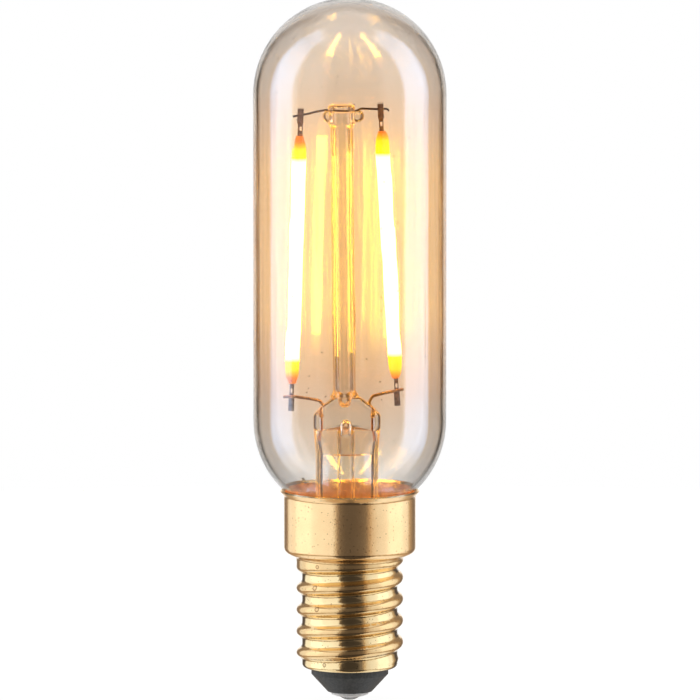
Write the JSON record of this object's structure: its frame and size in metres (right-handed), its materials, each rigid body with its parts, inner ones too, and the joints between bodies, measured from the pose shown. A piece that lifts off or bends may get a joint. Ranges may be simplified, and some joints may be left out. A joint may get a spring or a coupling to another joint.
{
  "type": "tubular light bulb",
  "caption": "Tubular amber-glass LED filament bulb with a domed top, round lower end, glass stem and a small brass screw cap with its supply inside.",
  "frame": {"origin": "tip of the centre contact, on the lamp's axis", "axes": "+Z along the lamp's axis from the contact to the dome, +X to the lamp's right seen from the front, -Y to the front"},
  "size_m": [0.025, 0.025, 0.0914],
  "materials": {
    "amber_glass": "clear amber, gloss",
    "clear_glass": "clear, fire polished",
    "rolled_brass": "rolled, bright, lightly stained",
    "cap_cement": "matt, granular",
    "black_glass": "dark, satin",
    "solder": "tinned, dull bright",
    "nickel_wire": "drawn wire, oxidised",
    "copper_clad_wire": "drawn wire, borated",
    "tinned_wire": "drawn wire",
    "tab_steel": "stamped, plated",
    "phosphor": "silicone coating, lit",
    "substrate": "fired, matt",
    "led_chip": "polished crystal",
    "circuit_board": "lacquered laminate",
    "moulded_package": "moulded epoxy",
    "chip_resistor": "printed, glazed",
    "capacitor_sleeve": "shrink sleeve",
    "resistor_lacquer": "lacquered",
    "clear_film": "translucent film"
  },
  "bodies": {
    "root": {"basing_cement": "cap_cement", "bridge_rectifier": "moulded_package", "cap_insulator": "black_glass", "cap_shell": "rolled_brass", "centre_contact": "solder", "centre_wire": "tinned_wire", "contact_solder": "solder", "current_regulator": "moulded_package", "current_set_resistor": "chip_resistor", "driver_board": "circuit_board", "filament_left_bottom_tab": "tab_steel", "filament_left_chips": "led_chip", "filament_left_phosphor": "phosphor", "filament_left_substrate": "substrate", "filament_left_top_tab": "tab_steel", "filament_right_bottom_tab": "tab_steel", "filament_right_chips": "led_chip", "filament_right_phosphor": "phosphor", "filament_right_substrate": "substrate", "filament_right_top_tab": "tab_steel", "fusible_resistor": "resistor_lacquer", "glass_envelope": "amber_glass", "glass_stem": "clear_glass", "inner_lead_left": "nickel_wire", "inner_lead_right": "nickel_wire", "insulating_sleeve": "clear_film", "neutral_wire": "tinned_wire", "outer_lead_left": "tinned_wire", "outer_lead_right": "tinned_wire", "seal_wire_left": "copper_clad_wire", "seal_wire_right": "copper_clad_wire", "smoothing_capacitor": "capacitor_sleeve", "top_support_wire": "nickel_wire"}
  },
  "joints": []
}
